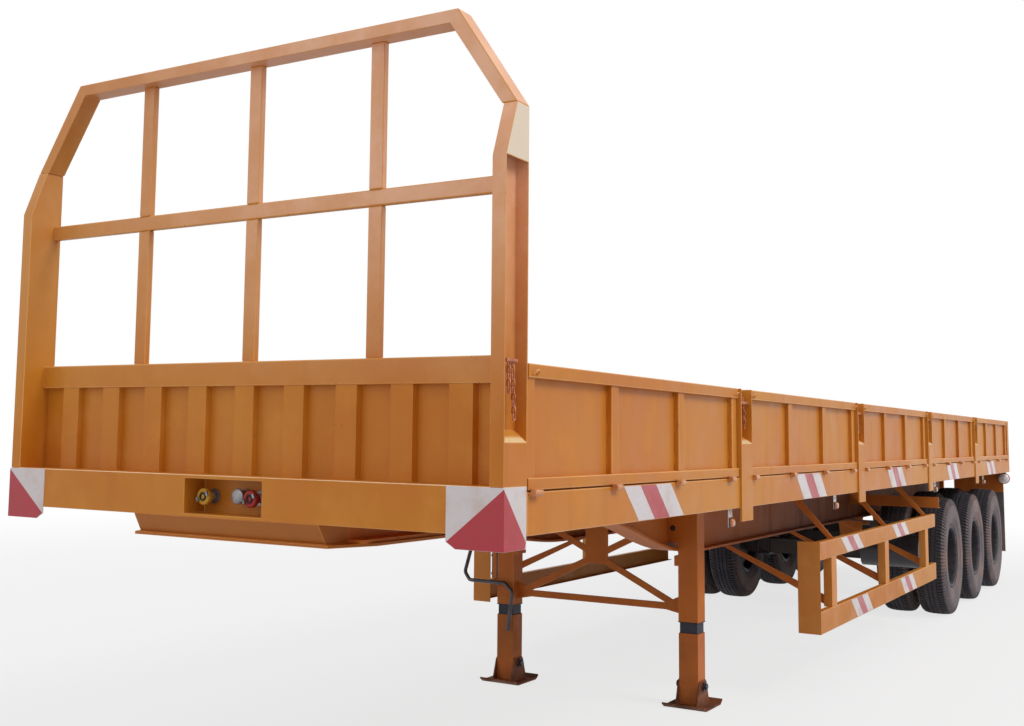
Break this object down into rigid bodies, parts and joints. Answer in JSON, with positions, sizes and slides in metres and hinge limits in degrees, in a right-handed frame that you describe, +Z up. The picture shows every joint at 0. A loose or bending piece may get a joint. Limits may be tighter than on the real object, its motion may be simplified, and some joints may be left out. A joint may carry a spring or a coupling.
{
  "type": "dropside tri-axle semi-trailer",
  "caption": "Flatbed semi-trailer with hinged drop sides, a tall front headboard, twin-wheel axles, landing legs, side guards and a kingpin coupling plate.",
  "frame": {"origin": "middle of the overall box, on the ground", "axes": "+Y from the kingpin end to the rear, +X to the side that shows in the picture, +Z up"},
  "size_m": [2.562, 12.354, 3.115],
  "materials": {
    "orange_paint": "semi-gloss orange-yellow enamel, dusty",
    "deck_steel": "scuffed paint over chequer plate",
    "bare_steel": "machined steel",
    "greased_steel": "brown-orange paint, dark greased upper part",
    "dark_steel": "dark grey paint",
    "black_iron": "black painted iron, dusty",
    "tank_black": "black paint",
    "wheel_steel": "dark grey paint, dusty",
    "tyre_rubber": "dusty black rubber",
    "marker_white": "white ground with red triangle",
    "lamp_red": "red lens",
    "lamp_amber": "amber lens",
    "coupling_metal": "cast metal with coloured covers"
  },
  "bodies": {
    "chassis": {"main_beams": "orange_paint", "cross_members": "orange_paint", "side_beams": "orange_paint", "front_bolster": "orange_paint", "rear_beam": "orange_paint", "deck_floor": "deck_steel", "coupler_plate": "orange_paint", "kingpin": "bare_steel", "headboard_posts": "orange_paint", "headboard_top": "orange_paint", "headboard_rails": "orange_paint", "headboard_uprights": "orange_paint", "headboard_panel": "orange_paint", "corner_markers": "marker_white", "stake_posts": "orange_paint", "rear_posts": "orange_paint", "panel_latches": "orange_paint", "landing_legs": "orange_paint", "landing_inner_legs": "greased_steel", "landing_feet": "orange_paint", "landing_bracing": "orange_paint", "landing_cross_shaft": "dark_steel", "landing_crank": "dark_steel", "side_guard_rails": "orange_paint", "side_guard_posts": "orange_paint", "side_guard_stays": "orange_paint", "axles": "black_iron", "springs": "black_iron", "spring_hangers": "orange_paint", "air_tank": "tank_black", "mudguard_plates": "orange_paint", "mudflaps": "tyre_rubber", "rear_bumper": "orange_paint", "rear_lamps": "lamp_red", "side_lamps": "lamp_amber", "service_couplings": "coupling_metal", "panel_hinges": "orange_paint"},
    "side_panel_left_1": {"side_panel_left_1": "orange_paint"},
    "side_panel_right_1": {"side_panel_right_1": "orange_paint"},
    "side_panel_left_2": {"side_panel_left_2": "orange_paint"},
    "side_panel_right_2": {"side_panel_right_2": "orange_paint"},
    "side_panel_left_3": {"side_panel_left_3": "orange_paint"},
    "side_panel_right_3": {"side_panel_right_3": "orange_paint"},
    "side_panel_left_4": {"side_panel_left_4": "orange_paint"},
    "side_panel_right_4": {"side_panel_right_4": "orange_paint"},
    "side_panel_left_5": {"side_panel_left_5": "orange_paint"},
    "side_panel_right_5": {"side_panel_right_5": "orange_paint"},
    "rear_gate": {"rear_gate": "orange_paint"},
    "wheel_left_1": {"tyres_left_1": "tyre_rubber", "wheel_left_1": "wheel_steel"},
    "wheel_right_1": {"tyres_right_1": "tyre_rubber", "wheel_right_1": "wheel_steel"},
    "wheel_left_2": {"tyres_left_2": "tyre_rubber", "wheel_left_2": "wheel_steel"},
    "wheel_right_2": {"tyres_right_2": "tyre_rubber", "wheel_right_2": "wheel_steel"},
    "wheel_left_3": {"tyres_left_3": "tyre_rubber", "wheel_left_3": "wheel_steel"},
    "wheel_right_3": {"tyres_right_3": "tyre_rubber", "wheel_right_3": "wheel_steel"}
  },
  "joints": [
    {"name": "side_panel_left_1_drop", "type": "hinge", "parent": "chassis", "child": "side_panel_left_1", "pos_m": [1.268, -4.8708, 1.37], "axis": [0, 1, 0], "range_deg": [0, 180]},
    {"name": "side_panel_right_1_drop", "type": "hinge", "parent": "chassis", "child": "side_panel_right_1", "pos_m": [-1.268, -4.8708, 1.37], "axis": [0, -1, 0], "range_deg": [0, 180]},
    {"name": "side_panel_left_2_drop", "type": "hinge", "parent": "chassis", "child": "side_panel_left_2", "pos_m": [1.268, -2.4304, 1.37], "axis": [0, 1, 0], "range_deg": [0, 180]},
    {"name": "side_panel_right_2_drop", "type": "hinge", "parent": "chassis", "child": "side_panel_right_2", "pos_m": [-1.268, -2.4304, 1.37], "axis": [0, -1, 0], "range_deg": [0, 180]},
    {"name": "side_panel_left_3_drop", "type": "hinge", "parent": "chassis", "child": "side_panel_left_3", "pos_m": [1.268, 0.01, 1.37], "axis": [0, 1, 0], "range_deg": [0, 180]},
    {"name": "side_panel_right_3_drop", "type": "hinge", "parent": "chassis", "child": "side_panel_right_3", "pos_m": [-1.268, 0.01, 1.37], "axis": [0, -1, 0], "range_deg": [0, 180]},
    {"name": "side_panel_left_4_drop", "type": "hinge", "parent": "chassis", "child": "side_panel_left_4", "pos_m": [1.268, 2.4504, 1.37], "axis": [0, 1, 0], "range_deg": [0, 180]},
    {"name": "side_panel_right_4_drop", "type": "hinge", "parent": "chassis", "child": "side_panel_right_4", "pos_m": [-1.268, 2.4504, 1.37], "axis": [0, -1, 0], "range_deg": [0, 180]},
    {"name": "side_panel_left_5_drop", "type": "hinge", "parent": "chassis", "child": "side_panel_left_5", "pos_m": [1.268, 4.8908, 1.37], "axis": [0, 1, 0], "range_deg": [0, 180]},
    {"name": "side_panel_right_5_drop", "type": "hinge", "parent": "chassis", "child": "side_panel_right_5", "pos_m": [-1.268, 4.8908, 1.37], "axis": [0, -1, 0], "range_deg": [0, 180]},
    {"name": "rear_gate_drop", "type": "hinge", "parent": "chassis", "child": "rear_gate", "pos_m": [0, 6.164, 1.37], "axis": [-1, 0, 0], "range_deg": [0, 180]},
    {"name": "wheel_left_1_spin", "type": "hinge", "parent": "chassis", "child": "wheel_left_1", "pos_m": [0.9465, 2.34, 0.5275], "axis": [1, 0, 0], "continuous": true},
    {"name": "wheel_right_1_spin", "type": "hinge", "parent": "chassis", "child": "wheel_right_1", "pos_m": [-0.9465, 2.34, 0.5275], "axis": [1, 0, 0], "continuous": true},
    {"name": "wheel_left_2_spin", "type": "hinge", "parent": "chassis", "child": "wheel_left_2", "pos_m": [0.9465, 3.65, 0.5275], "axis": [1, 0, 0], "continuous": true},
    {"name": "wheel_right_2_spin", "type": "hinge", "parent": "chassis", "child": "wheel_right_2", "pos_m": [-0.9465, 3.65, 0.5275], "axis": [1, 0, 0], "continuous": true},
    {"name": "wheel_left_3_spin", "type": "hinge", "parent": "chassis", "child": "wheel_left_3", "pos_m": [0.9465, 4.96, 0.5275], "axis": [1, 0, 0], "continuous": true},
    {"name": "wheel_right_3_spin", "type": "hinge", "parent": "chassis", "child": "wheel_right_3", "pos_m": [-0.9465, 4.96, 0.5275], "axis": [1, 0, 0], "continuous": true}
  ]
}
